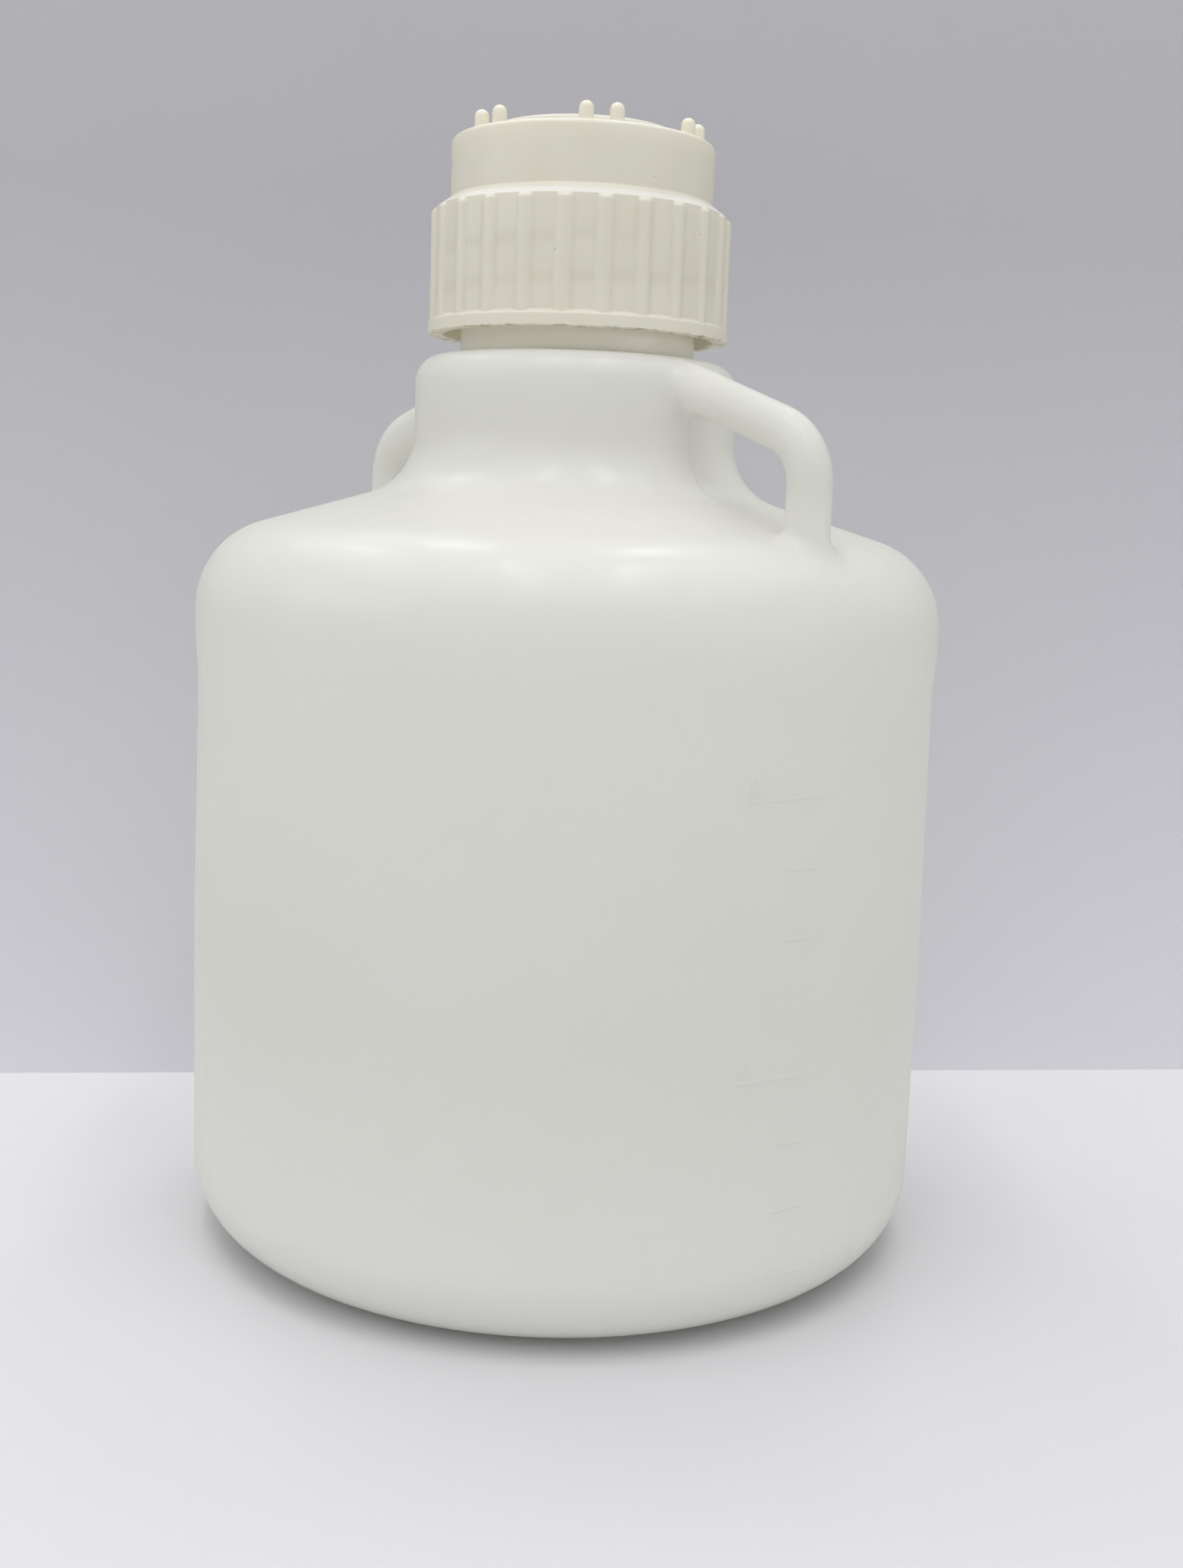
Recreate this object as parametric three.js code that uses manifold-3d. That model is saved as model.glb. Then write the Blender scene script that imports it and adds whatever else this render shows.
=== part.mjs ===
// A ten-litre wide-mouth plastic carboy: a blow-moulded bottle with two hollow shoulder handles, a ribbed screw
// cap with a raised drum and paired pegs, and the sealing ring inside the cap.
// Millimetres, +Z up, the origin at the centre of the foot, the two handles along +X and -X.

import * as THREE from 'three';
import { mergeVertices } from 'three/addons/utils/BufferGeometryUtils.js';
import Module from 'manifold-3d';

const degrees = THREE.MathUtils.degToRad;

// Bottle shell, outside surface
const WALL = 2.3;
const BODY_RADIUS = 125.8;
const BODY_STRAIGHT_TOP = 100;
const WAIST_RADIUS = 124.3;
const WAIST_HEIGHT = 190;
const SHOULDER_RADIUS = 125.2;
const SHOULDER_BEAD_HEIGHT = 204;
const SHOULDER_CORNER_HEIGHT = 234;
const SHOULDER_SLOPE = degrees(16.7);
const COLLAR_RADIUS = 53.8;
const COLLAR_TOP = 296.8;
const NECK_RADIUS = 39.1;
const NECK_WALL = 3.1;
const LIP_HEIGHT = 360;

// Base: a raised centre panel inside a flat foot ring
const PUSH_UP = 5;
const PUSH_UP_RADIUS = 76;
const FOOT_INNER_RADIUS = 86;

// Fillets of the bottle's outside surface
const PUSH_UP_FILLET = 12;
const BASE_FILLET = 25;
const WALL_BLEND = 90;
const BEAD_BLEND = 30;
const SHOULDER_FILLET = 29.5;
const COLLAR_ROOT_FILLET = 21;
const COLLAR_TOP_FILLET = 9;

// Handles: a round tube that leaves the collar, slopes outward and bends down to the shoulder
const HANDLE_TUBE_RADIUS = 6.9;
const HANDLE_CORNER_RADIUS = 105.2;
const HANDLE_CORNER_HEIGHT = 269.8;
const HANDLE_SLOPE = degrees(18.9);
const HANDLE_BEND = 18.5;
const HANDLE_START_RADIUS = 48.5;
const HANDLE_END_HEIGHT = 229;
const HANDLE_BORE_OVERRUN = 3;

// Screw thread: a round ridge on the neck, and its partner inside the skirt that hooks under it
const THREAD_PITCH = 12.4;
const THREAD_TURNS = 1.4;
const THREAD_RIDGE_RADIUS = 2;
const THREAD_START_ANGLE = degrees(203);
const THREAD_START_HEIGHT = 318;
const THREAD_HOOK_DROP = 3.5;
const NECK_THREAD_RADIUS = 39.8;
const CAP_THREAD_RADIUS = 42.7;
const THREAD_SINK = 2.9;
const THREAD_FADE = 0.08;

// Screw cap, measured up from the rim of its skirt
const CAP_RIM_HEIGHT = 303.6;
const BAND_RADIUS = 50;
const BAND_TOP = 3.8;
const BAND_CHAMFER = 1.2;
const SKIRT_RADIUS = 48.3;
const SKIRT_TOP = 39.9;
const DRUM_RADIUS = 43.35;
const DRUM_FOOT = 43.5;
const DRUM_TOP = 62.5;
const DRUM_EDGE_FILLET = 1.7;
const CROWN_RADIUS = 32.5;
const CROWN_EDGE_RADIUS = 31;
const CROWN_HEIGHT = 65.6;
const CROWN_FILLET = 2;
const CROWN_CENTRE_HEIGHT = 66.8;
const SKIRT_BORE_RADIUS = 44.8;
const SKIRT_BORE_TOP = 38.6;
const DRUM_BORE_RADIUS = 40.85;
const DRUM_BORE_FOOT = 41.5;
const CAP_SKIN = 2.8;

// Grip ribs round the skirt and pegs on the crown
const RIB_COUNT = 24;
const RIB_RADIUS = 3;
const RIB_CREST_RADIUS = 49.67;
const RIB_BASE = 1.5;
const RIB_TOP = 39.3;
const RIB_START_ANGLE = degrees(11.95);
const PEG_PAIR_COUNT = 6;
const PEG_RADIUS = 2.3;
const PEG_CIRCLE_RADIUS = 38;
const PEG_TOP = 68.6;
const PEG_HALF_GAP = degrees(7.3);
const PEG_START_ANGLE = degrees(26.2);
const PEG_SINK = 1;

// Sealing ring between the lip and the cap's ceiling
const RING_INNER_RADIUS = 35.6;
const RING_OUTER_RADIUS = 40.3;
const SEAT_GAP = 0.3;

// How finely round things are cut into flats
const BOTTLE_SEGMENTS = 48;
const CAP_SEGMENTS = 48;
const SMALL_SEGMENTS = 10;
const HANDLE_STEPS = 15;
const THREAD_STEPS_PER_TURN = 30;
const TUBE_HALF_SEGMENTS = 5;
const CHORD_ANGLE = degrees(30);
const WELD_DISTANCE = 1e-4;
const OVERCUT = 1;

const wasm = await Module();
wasm.setup();

// A closed three.js geometry as a solid that can be joined and cut
function toSolid(geometry) {
  geometry.deleteAttribute('normal');
  geometry.deleteAttribute('uv');
  const welded = mergeVertices(geometry, WELD_DISTANCE);
  const corners = welded.index.array;
  const triangles = [];
  for (let first = 0; first < corners.length; first += 3) {
    const [a, b, c] = corners.slice(first, first + 3);
    if (a !== b && b !== c && c !== a) {
      triangles.push(a, b, c);
    }
  }
  return new wasm.Manifold(new wasm.Mesh({
    numProp: 3,
    vertProperties: welded.attributes.position.array,
    triVerts: Uint32Array.from(triangles),
  }));
}

function toGeometry(solid) {
  const mesh = solid.getMesh();
  const geometry = new THREE.BufferGeometry();
  geometry.setAttribute('position', new THREE.BufferAttribute(mesh.vertProperties, 3));
  geometry.setIndex(new THREE.BufferAttribute(mesh.triVerts, 1));
  return geometry;
}

function joinAll(solids) {
  return solids.reduce((joined, solid) => joined.add(solid));
}

// An outline from its corners, each [radius, height, fillet]; a fillet becomes a run of short chords
function roundedOutline(corners) {
  const origin = new THREE.Vector2();
  return corners.flatMap(([radius, height, fillet = 0], index) => {
    const corner = new THREE.Vector2(radius, height);
    if (fillet === 0) {
      return [corner];
    }
    const toPrevious = new THREE.Vector2(...corners[index - 1]).sub(corner).normalize();
    const toNext = new THREE.Vector2(...corners[index + 1]).sub(corner).normalize();
    const halfAngle = Math.acos(toPrevious.dot(toNext)) / 2;
    const bisector = toPrevious.clone().add(toNext).normalize();
    const centre = corner.clone().addScaledVector(bisector, fillet / Math.sin(halfAngle));
    const tangent = fillet / Math.tan(halfAngle);
    const start = corner.clone().addScaledVector(toPrevious, tangent).sub(centre);
    const end = corner.clone().addScaledVector(toNext, tangent).sub(centre);
    const turn = Math.atan2(start.cross(end), start.dot(end));
    const chords = Math.ceil(Math.abs(turn) / CHORD_ANGLE);
    return Array.from({ length: chords + 1 }, (_, step) =>
      start.clone().rotateAround(origin, (turn * step) / chords).add(centre));
  });
}

// The solid swept by an outline round the Z axis
function revolve(corners, segments) {
  const geometry = new THREE.LatheGeometry(roundedOutline(corners), segments);
  return toSolid(geometry.rotateX(Math.PI / 2));
}

function tubeAlong(path, radius, steps) {
  const circle = new THREE.Shape().absarc(0, 0, radius, 0, 2 * Math.PI);
  const options = { extrudePath: path, steps, curveSegments: TUBE_HALF_SEGMENTS, bevelEnabled: false };
  return toSolid(new THREE.ExtrudeGeometry(circle, options));
}

// A round-topped post standing on a circle about the Z axis
function post(radius, base, top, circleRadius, angle) {
  const corners = [[0, base], [radius, base], [radius, top, radius], [0, top]];
  return revolve(corners, SMALL_SEGMENTS)
    .translate([circleRadius * Math.cos(angle), circleRadius * Math.sin(angle), 0]);
}

// A helix whose ends sink into the wall, so that the ridge along it fades out
class ThreadPath extends THREE.Curve {
  constructor(radius, sink, baseHeight) {
    super();
    this.radius = radius;
    this.sink = sink;
    this.baseHeight = baseHeight;
  }

  getPoint(t) {
    const angle = THREAD_START_ANGLE + t * THREAD_TURNS * 2 * Math.PI;
    const depth = this.sink * (1 - Math.min(1, t / THREAD_FADE, (1 - t) / THREAD_FADE));
    const radius = this.radius + depth;
    const height = this.baseHeight + t * THREAD_TURNS * THREAD_PITCH;
    return new THREE.Vector3(radius * Math.cos(angle), radius * Math.sin(angle), height);
  }
}

function threadRidge(radius, sink, baseHeight) {
  const path = new ThreadPath(radius, sink, baseHeight);
  return tubeAlong(path, THREAD_RIDGE_RADIUS, THREAD_STEPS_PER_TURN * THREAD_TURNS);
}

// Height of the conical shoulder at a radius, on the surface that lies a depth under the outside one
function shoulderHeight(radius, depth) {
  const rise = (SHOULDER_RADIUS - radius) * Math.tan(SHOULDER_SLOPE);
  return SHOULDER_CORNER_HEIGHT + rise - depth / Math.cos(SHOULDER_SLOPE);
}

// Corners of the bottle from the centre of its base to the root of its neck, a depth under the outside
function bottleCorners(depth) {
  const shoulder = SHOULDER_RADIUS - depth;
  const collar = COLLAR_RADIUS - depth;
  return [
    [0, PUSH_UP + depth],
    [PUSH_UP_RADIUS, PUSH_UP + depth, PUSH_UP_FILLET],
    [FOOT_INNER_RADIUS, depth, PUSH_UP_FILLET],
    [BODY_RADIUS - depth, depth, BASE_FILLET - depth],
    [BODY_RADIUS - depth, BODY_STRAIGHT_TOP, WALL_BLEND],
    [WAIST_RADIUS - depth, WAIST_HEIGHT, WALL_BLEND],
    [shoulder, SHOULDER_BEAD_HEIGHT, BEAD_BLEND],
    [shoulder, shoulderHeight(shoulder, depth), SHOULDER_FILLET - depth],
    [collar, shoulderHeight(collar, depth), COLLAR_ROOT_FILLET + depth],
    [collar, COLLAR_TOP - depth, COLLAR_TOP_FILLET - depth],
  ];
}

function bottleOutside() {
  return revolve([
    ...bottleCorners(0),
    [NECK_RADIUS, COLLAR_TOP],
    [NECK_RADIUS, LIP_HEIGHT],
    [0, LIP_HEIGHT],
  ], BOTTLE_SEGMENTS);
}

function bottleHollow() {
  const bore = NECK_RADIUS - NECK_WALL;
  return revolve([
    ...bottleCorners(WALL),
    [bore, COLLAR_TOP - WALL],
    [bore, LIP_HEIGHT + OVERCUT],
    [0, LIP_HEIGHT + OVERCUT],
  ], BOTTLE_SEGMENTS);
}

// Centre line of the handle on one side, lengthened at both ends by an overrun
function handlePath(side, overrun) {
  const tangent = HANDLE_BEND * Math.tan((Math.PI / 2 - HANDLE_SLOPE) / 2);
  const armPoint = (radius) => {
    const rise = (HANDLE_CORNER_RADIUS - radius) * Math.tan(HANDLE_SLOPE);
    return new THREE.Vector3(side * radius, 0, HANDLE_CORNER_HEIGHT + rise);
  };
  const legPoint = (height) => new THREE.Vector3(side * HANDLE_CORNER_RADIUS, 0, height);
  const bendStart = armPoint(HANDLE_CORNER_RADIUS - tangent * Math.cos(HANDLE_SLOPE));
  const bendEnd = legPoint(HANDLE_CORNER_HEIGHT - tangent);
  const path = new THREE.CurvePath();
  path.add(new THREE.LineCurve3(armPoint(HANDLE_START_RADIUS - overrun), bendStart));
  path.add(new THREE.QuadraticBezierCurve3(bendStart, armPoint(HANDLE_CORNER_RADIUS), bendEnd));
  path.add(new THREE.LineCurve3(bendEnd, legPoint(HANDLE_END_HEIGHT - overrun)));
  return path;
}

function makeBottle() {
  const sides = [1, -1];
  const tubes = sides.map((side) => tubeAlong(handlePath(side, 0), HANDLE_TUBE_RADIUS, HANDLE_STEPS));
  const bores = sides.map((side) =>
    tubeAlong(handlePath(side, HANDLE_BORE_OVERRUN), HANDLE_TUBE_RADIUS - WALL, HANDLE_STEPS));
  const thread = threadRidge(NECK_THREAD_RADIUS, -THREAD_SINK, THREAD_START_HEIGHT);
  const outside = joinAll([bottleOutside(), thread, ...tubes]);
  return outside.subtract(joinAll([bottleHollow(), ...bores]));
}

function capOutside() {
  return revolve([
    [0, 0],
    [BAND_RADIUS, 0],
    [BAND_RADIUS, BAND_TOP],
    [SKIRT_RADIUS, BAND_TOP + BAND_CHAMFER],
    [SKIRT_RADIUS, SKIRT_TOP],
    [DRUM_RADIUS, DRUM_FOOT],
    [DRUM_RADIUS, DRUM_TOP, DRUM_EDGE_FILLET],
    [CROWN_RADIUS, DRUM_TOP],
    [CROWN_EDGE_RADIUS, CROWN_HEIGHT, CROWN_FILLET],
    [0, CROWN_CENTRE_HEIGHT],
  ], CAP_SEGMENTS);
}

function capHollow() {
  return revolve([
    [0, -OVERCUT],
    [SKIRT_BORE_RADIUS, -OVERCUT],
    [SKIRT_BORE_RADIUS, SKIRT_BORE_TOP],
    [DRUM_BORE_RADIUS, DRUM_BORE_FOOT],
    [DRUM_BORE_RADIUS, DRUM_TOP - CAP_SKIN],
    [CROWN_RADIUS - CAP_SKIN, DRUM_TOP - CAP_SKIN],
    [CROWN_EDGE_RADIUS - CAP_SKIN, CROWN_HEIGHT - CAP_SKIN],
    [0, CROWN_CENTRE_HEIGHT - CAP_SKIN],
  ], CAP_SEGMENTS);
}

function makeRibs() {
  const circle = RIB_CREST_RADIUS - RIB_RADIUS;
  return Array.from({ length: RIB_COUNT }, (_, index) => {
    const angle = RIB_START_ANGLE + (index * 2 * Math.PI) / RIB_COUNT;
    return post(RIB_RADIUS, RIB_BASE, RIB_TOP, circle, angle);
  });
}

function makePegs() {
  return Array.from({ length: 2 * PEG_PAIR_COUNT }, (_, index) => {
    const pair = Math.floor(index / 2);
    const side = index % 2 === 0 ? 1 : -1;
    const angle = PEG_START_ANGLE + (pair * 2 * Math.PI) / PEG_PAIR_COUNT + side * PEG_HALF_GAP;
    return post(PEG_RADIUS, DRUM_TOP - PEG_SINK, PEG_TOP, PEG_CIRCLE_RADIUS, angle);
  });
}

function makeCap() {
  const threadBase = THREAD_START_HEIGHT - THREAD_HOOK_DROP - CAP_RIM_HEIGHT;
  const shell = joinAll([capOutside(), ...makeRibs(), ...makePegs()]).subtract(capHollow());
  return shell.add(threadRidge(CAP_THREAD_RADIUS, THREAD_SINK, threadBase));
}

function makeSealingRing() {
  const thickness = CAP_RIM_HEIGHT + DRUM_TOP - CAP_SKIN - LIP_HEIGHT - 2 * SEAT_GAP;
  return revolve([
    [RING_INNER_RADIUS, 0],
    [RING_OUTER_RADIUS, 0],
    [RING_OUTER_RADIUS, thickness],
    [RING_INNER_RADIUS, thickness],
    [RING_INNER_RADIUS, 0],
  ], CAP_SEGMENTS);
}

function piece(name, solid, height, finish) {
  const mesh = new THREE.Mesh(toGeometry(solid), new THREE.MeshStandardMaterial(finish));
  mesh.name = name;
  mesh.position.z = height;
  return mesh;
}

const naturalPlastic = { color: 0xe6e7e2, roughness: 0.42, metalness: 0 };
const creamPlastic = { color: 0xece9d8, roughness: 0.36, metalness: 0 };
const softSilicone = { color: 0xdfe0dc, roughness: 0.6, metalness: 0 };

const carboy = new THREE.Group();
carboy.add(piece('bottle', makeBottle(), 0, naturalPlastic));
carboy.add(piece('cap_gasket', makeSealingRing(), LIP_HEIGHT + SEAT_GAP, softSilicone));
carboy.add(piece('screw_cap', makeCap(), CAP_RIM_HEIGHT, creamPlastic));

export default carboy;
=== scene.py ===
# Looks of a wide-mouth plastic carboy: a blow-moulded bottle, its sealing ring and its ribbed screw cap.
# Shapes are worked out in millimetres in the frame's own axes, and every mesh is stored in metres.

import math

import bmesh
import bpy
import numpy as np
from mathutils import Matrix, Vector


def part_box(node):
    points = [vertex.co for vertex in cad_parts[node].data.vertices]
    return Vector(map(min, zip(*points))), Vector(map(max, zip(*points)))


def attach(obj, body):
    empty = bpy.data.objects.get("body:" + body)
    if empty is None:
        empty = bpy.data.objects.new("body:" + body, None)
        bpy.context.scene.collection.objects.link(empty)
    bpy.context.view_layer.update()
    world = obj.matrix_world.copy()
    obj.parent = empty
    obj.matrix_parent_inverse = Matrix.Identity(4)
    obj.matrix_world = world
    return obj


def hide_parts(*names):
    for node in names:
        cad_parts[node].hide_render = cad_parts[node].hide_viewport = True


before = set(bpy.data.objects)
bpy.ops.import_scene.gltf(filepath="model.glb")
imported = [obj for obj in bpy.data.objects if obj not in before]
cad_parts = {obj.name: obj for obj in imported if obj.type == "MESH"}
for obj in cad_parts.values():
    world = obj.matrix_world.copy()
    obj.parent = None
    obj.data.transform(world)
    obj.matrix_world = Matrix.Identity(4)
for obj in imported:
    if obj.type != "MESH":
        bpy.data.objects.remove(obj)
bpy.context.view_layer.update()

MM = 0.001
TURN = 2 * math.pi
LONGEST_RUN = 1000

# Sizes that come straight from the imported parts
bottle_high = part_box("bottle")[1] / MM
cap_low, cap_high = (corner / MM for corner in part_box("screw_cap"))
ring_low, ring_high = (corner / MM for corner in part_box("cap_gasket"))

# Bottle, the same driving sizes as its CAD part
WALL = 2.3
SEAM_RISE = 0.07
BODY_RADIUS = bottle_high.x - SEAM_RISE
STRAIGHT_TOP = 100
WAIST_RADIUS = BODY_RADIUS - 1.5
WAIST_HEIGHT = 190
SHOULDER_RADIUS = BODY_RADIUS - 0.6
BEAD_HEIGHT = 204
SHOULDER_CORNER = 234
SHOULDER_SLOPE = math.radians(16.7)
COLLAR_RADIUS = 53.8
COLLAR_TOP = 296.8
NECK_RADIUS = 39.1
NECK_BORE = 36
LIP_HEIGHT = bottle_high.z
PUSH_UP = 5
PUSH_UP_RADIUS = 76
FOOT_INNER_RADIUS = 86
PUSH_UP_FILLET = 12
BASE_FILLET = 25
STRAIGHT_BLEND = 400
WAIST_BLEND = 90
BEAD_BLEND = 60
SHOULDER_FILLET = 29.5
COLLAR_ROOT_FILLET = 21
COLLAR_TOP_FILLET = 9
NECK_ROOT_FILLET = 1.2
BORE_FILLET = 1
LIP_FILLET = 0.9
PINCH_RISE = 0.4
PINCH_FADE = 8
PINCH_RADIUS = PUSH_UP_RADIUS - 6

# Handles
TUBE_RADIUS = 6.9
HANDLE_CORNER_RADIUS = 105.2
HANDLE_CORNER_HEIGHT = 269.8
HANDLE_SLOPE = math.radians(18.9)
HANDLE_BEND = 18.5
HANDLE_INNER_END = 48.5
HANDLE_LOWER_END = 229
COLLAR_BLEND = 6
SHOULDER_BLEND = 5
LEAST_BLEND_SHARE = 0.1
BLEND_FADE = 10
TUBE_SIDES = 36
TUBE_STEP = 2
HOLE_MARGIN = 1.2
CLEAR_OF_COLLAR = 6
CLEAR_OF_SHOULDER = 5.5
SETTLE_REACH = 16
SETTLE_ROUNDS = 40

# Screw thread
THREAD_PITCH = 12.4
THREAD_TURNS = 1.4
THREAD_START_ANGLE = math.radians(203)
THREAD_START = 318
THREAD_HOOK_DROP = 3.5
THREAD_HALF_WIDTH = 3
NECK_THREAD_CREST = 41.8
CAP_THREAD_CREST = 40.7
THREAD_FADE = 0.07

# Screw cap, heights up from its rim
RIM_HEIGHT = cap_low.z
BAND_RADIUS = cap_high.x
BAND_TOP = 3.8
BAND_CHAMFER = 1.2
RIM_FILLET = 0.4
SKIRT_RADIUS = 48.3
SKIRT_TOP = 39.9
DRUM_RADIUS = 43.35
DRUM_FOOT = 43.5
DRUM_TOP = 62.5
DRUM_EDGE = 1.7
SKIRT_BORE = 44.8
SKIRT_BORE_TOP = 38.6
DRUM_BORE = 40.85
DRUM_BORE_FOOT = 41.5
CAP_SKIN = 2.8
CROWN_RADIUS = 32.5
CROWN_EDGE = 31
CROWN_HEIGHT = 66.2
CROWN_CENTRE = 67.6
RIB_COUNT = 24
RIB_RADIUS = 3
RIB_CREST = 49.67
RIB_START_ANGLE = math.radians(11.95)
RIB_TOP = 39.8
RIB_TIP = 1.8
RIB_COLUMNS = [math.radians(off) for off in (1.1, 1.9, 2.5, 2.85, 3.15, 3.6, 5.5)]
RIB_FOOT = 2.6
RIB_BLEND = 1.2
BAND_BLEND = 0.2
LEDGE_BLEND = 0.35
LEDGE_ROOT_BLEND = 0.3
SINK_DEPTH = 0.12
PEG_PAIRS = 6
PEG_RADIUS = 2.3
PEG_CIRCLE = 38
PEG_TOP = cap_high.z - cap_low.z
PEG_HALF_GAP = math.radians(7.3)
PEG_START_ANGLE = math.radians(26.2)
PEG_BLEND = 0.7
PEG_SHAFT = 1

# Volume marks moulded on the wall: the long lines carry a number of litres
MARK_HEIGHTS = {8: 167.5, 4: 83.9}
MARK_STEP = 20.9
MARK_START = math.radians(-16.8)
MARK_LENGTH = math.radians(14)
MARK_WIDTH = 1.2
MARK_RISE = 0.13
MARK_SLOPE = 0.16
MARK_FOOT = 0.02
MARK_SUNK = 0.3
SHORT_MARKS = (1, 2, 3)
SHORT_MARK_START = 0.5
SHORT_MARK_END = 0.9
NUMBER_SIZE = 9

# Stage, in metres
CAMERA_AZIMUTH = math.radians(48.2)
WALL_BEHIND = 0.143
WALL_TURN = math.radians(5.8)
WALL_TOP = 1.6
WALL_WIDTH = 2.8
WALL_SHADED_HEIGHT = 0.37
WALL_TOP_SHADE = 0.64
FLOOR_SIZE = 8
CAMERA_DISTANCE = 0.6
CAMERA_HEIGHT = 0.25
CAMERA_PITCH = math.radians(9.18)
CAMERA_ROLL = math.radians(2.02)
CAMERA_YAW = math.radians(0.95)

# Camera lens and the width of its sensor, in millimetres
CAMERA_LENS = 39.93
CAMERA_SENSOR = 36

# Colours
BOTTLE_PALE = (0.93, 0.93, 0.905, 1)
BOTTLE_DEEP = (0.915, 0.915, 0.88, 1)
BOTTLE_GLOW = (0.97, 0.967, 0.945, 1)
# Painted light: the neck is painted warmer and brighter than the body, for light bounced off the cream cap.
BOTTLE_NECK_BOUNCE = (0.985, 0.96, 0.85, 1)
# Painted shade: the handles are painted darker than the body.
BOTTLE_HANDLE_SHADE = (0.905, 0.905, 0.875, 1)
# Painted light: whiter towards the foot, for light bounced up off the floor.
BOTTLE_FOOT_BOUNCE = (0.97, 0.97, 0.932, 1)
CAP_PALE = (0.905, 0.89, 0.80, 1)
CAP_DEEP = (0.885, 0.865, 0.77, 1)
# Painted shade beside each rib's foot.
CAP_RIB_FOOT_SHADE = (0.62, 0.55, 0.36, 1)
# Painted shade for the bands where the skirt has sunk.
CAP_SINK_SHADE = (0.76, 0.735, 0.62, 1)
CAP_GLOW = (0.94, 0.90, 0.74, 1)
# Painted reflection of the pale wall on the crown.
CAP_CROWN_REFLECTION = (0.80, 0.785, 0.735, 1)
# Painted highlight of the overhead lamps on the ledge.
CAP_LEDGE_HIGHLIGHT = (0.97, 0.965, 0.925, 1)
SPECK = (0.10, 0.07, 0.04, 1)
SILICONE = (0.72, 0.73, 0.70, 1)
SILICONE_DUST = (0.80, 0.80, 0.77, 1)
FLOOR = (0.64, 0.64, 0.655, 1)
WALL_COLOUR = (0.745, 0.74, 0.785, 1)
ROOM = (0.97, 0.97, 1.0, 1)

# Plastics: the lowest and highest roughness, the share of light that passes through, and bumps in metres
NATURAL_ROUGHNESS = (0.2, 0.262)
CREAM_ROUGHNESS = (0.285, 0.34)
RING_ROUGHNESS = 0.55
BODY_CLEAR = 0.6
NECK_CLEAR = 0.05
FOOT_CLEAR_FACTOR = 0.6
CAP_CLEAR = 0.3
RING_CLEAR = 0.2
NATURAL_IOR = 1.5
CREAM_IOR = 1.49
NATURAL_RIPPLE = 0.0003
NATURAL_FLOW = 0.00002
CREAM_RIPPLE = 0.00006
RING_GRAIN = 0.00006
FINE_GRAIN = 0.000006
FOOT_FADE = (0.012, 0.1)
SPECK_RADIUS = 0.0003
SPECK_STRENGTH = 0.8
WIPE_STRENGTH = 0.85
SINK_SHADE_STRENGTH = 0.35

# Lamps
LAMP_HEIGHT = 1.95
LAMP_WIDTH = 0.16
FRONT_LAMP_DEPTH = -0.6
FRONT_LAMP_LENGTH = 1.1
REAR_LAMP_DEPTH = 0.75
REAR_LAMP_LENGTH = 0.6
ROOM_STRENGTH = 0.368
FRONT_LAMPS = (-0.33, 0.38)
REAR_LAMPS = (-1.1, -0.49, 0.31)
FRONT_LAMP_POWER = 4.3
REAR_LAMP_POWER = 2.2
CEILING_POWER = 66
LEFT_POWER = 5.8
RIGHT_POWER = 3.8
FRONT_POWER = 3.9


# ---------------------------------------------------------------- outlines

def run_to(points, end, spacing):
    """Continues a run of points in a straight line to end, with equal steps of about the spacing."""
    start = points[-1]
    steps = max(1, round(float(np.linalg.norm(end - start)) / spacing))
    points.extend(start + (end - start) * step / steps for step in range(1, steps + 1))


def rounded_outline(corners, spacing, chord=math.radians(7)):
    """Points along an outline of (radius, height) or (radius, height, fillet) corners."""
    points = [np.array(corners[0][:2], float)]
    for before, corner, after in zip(corners, corners[1:], corners[2:]):
        here = np.array(corner[:2], float)
        fillet = corner[2] if len(corner) == 3 else 0
        if fillet == 0:
            run_to(points, here, spacing)
            continue
        back = np.array(before[:2], float) - here
        onward = np.array(after[:2], float) - here
        back /= np.linalg.norm(back)
        onward /= np.linalg.norm(onward)
        half = math.acos(float(back @ onward)) / 2
        bisector = (back + onward) / np.linalg.norm(back + onward)
        centre = here + bisector * fillet / math.sin(half)
        arm = here + back * fillet / math.tan(half) - centre
        last = here + onward * fillet / math.tan(half) - centre
        turn = math.atan2(arm[0] * last[1] - arm[1] * last[0], float(arm @ last))
        run_to(points, centre + arm, spacing)
        steps = max(2, math.ceil(abs(turn) / chord))
        for step in range(1, steps + 1):
            cos, sin = math.cos(turn * step / steps), math.sin(turn * step / steps)
            points.append(centre + (arm[0] * cos - arm[1] * sin, arm[0] * sin + arm[1] * cos))
    run_to(points, np.array(corners[-1][:2], float), spacing)
    return np.array(points)


def shoulder_height(radius, depth):
    """Height of the conical shoulder on the surface that lies a depth under the outside."""
    rise = (SHOULDER_RADIUS - radius) * math.tan(SHOULDER_SLOPE)
    return SHOULDER_CORNER + rise - depth / math.cos(SHOULDER_SLOPE)


def shell_corners(depth):
    """Corners of the bottle, a depth under its outside, from the centre of the base to the collar's top."""
    shoulder = SHOULDER_RADIUS - depth
    collar = COLLAR_RADIUS - depth
    return [
        (0, PUSH_UP + depth),
        (PUSH_UP_RADIUS, PUSH_UP + depth, PUSH_UP_FILLET),
        (FOOT_INNER_RADIUS, depth, PUSH_UP_FILLET),
        (BODY_RADIUS - depth, depth, BASE_FILLET - depth),
        (BODY_RADIUS - depth, STRAIGHT_TOP, STRAIGHT_BLEND),
        (WAIST_RADIUS - depth, WAIST_HEIGHT, WAIST_BLEND),
        (shoulder, BEAD_HEIGHT, BEAD_BLEND),
        (shoulder, shoulder_height(shoulder, depth), SHOULDER_FILLET - depth),
        (collar, shoulder_height(collar, depth), COLLAR_ROOT_FILLET + depth),
        (collar, COLLAR_TOP - depth, COLLAR_TOP_FILLET - depth),
    ]


# ---------------------------------------------------------------- distance fields, for blending joints

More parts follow.
